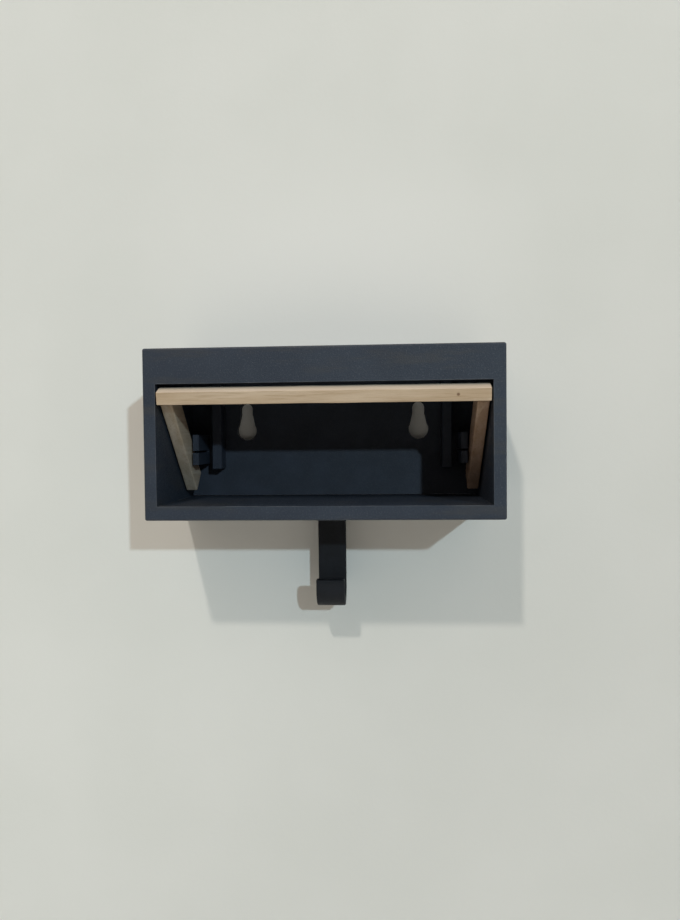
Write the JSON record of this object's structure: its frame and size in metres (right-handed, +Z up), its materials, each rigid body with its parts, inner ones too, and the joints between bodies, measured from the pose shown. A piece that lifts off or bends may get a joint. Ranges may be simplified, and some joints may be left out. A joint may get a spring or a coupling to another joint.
{
  "type": "wall display case",
  "caption": "Small wall-hung display case for a toy car, with a wooden bar that swings down across the front and a key hook below.",
  "frame": {"origin": "middle of the back face, on the wall plane", "axes": "+X to the viewer's right, +Y into the wall, +Z up"},
  "size_m": [0.125, 0.0514, 0.0975],
  "materials": {
    "slate_print": "printed plastic with a fine pebbled face, dark slate blue",
    "black_print": "printed plastic with fine layer lines, blue-black",
    "hook_print": "printed plastic with fine layer lines, near black",
    "pale_wood": "sanded unfinished pale wood",
    "steel": "plain zinc-plated steel"
  },
  "bodies": {
    "case": {"case_body": "slate_print", "back_panel": "black_print", "back_batten_left": "black_print", "back_batten_right": "black_print", "leg_catch_left": "black_print", "leg_catch_right": "black_print", "key_hook": "hook_print", "pivot_pin_left": "steel", "pivot_pin_right": "steel", "back_panel_screw_left_low": "steel", "back_panel_screw_left_high": "steel", "back_panel_screw_right_low": "steel", "back_panel_screw_right_high": "steel", "hook_screw_left": "steel", "hook_screw_right": "steel"},
    "bar": {"bar_plank": "pale_wood", "bar_leg_left": "pale_wood", "bar_leg_right": "pale_wood", "bar_dowel_left": "pale_wood", "bar_dowel_right": "pale_wood"}
  },
  "joints": [
    {"name": "bar_swing", "type": "hinge", "parent": "case", "child": "bar", "pos_m": [0, -0.0139, -0.0154], "axis": [1, 0, 0], "range_deg": [-1.2, 51]}
  ]
}
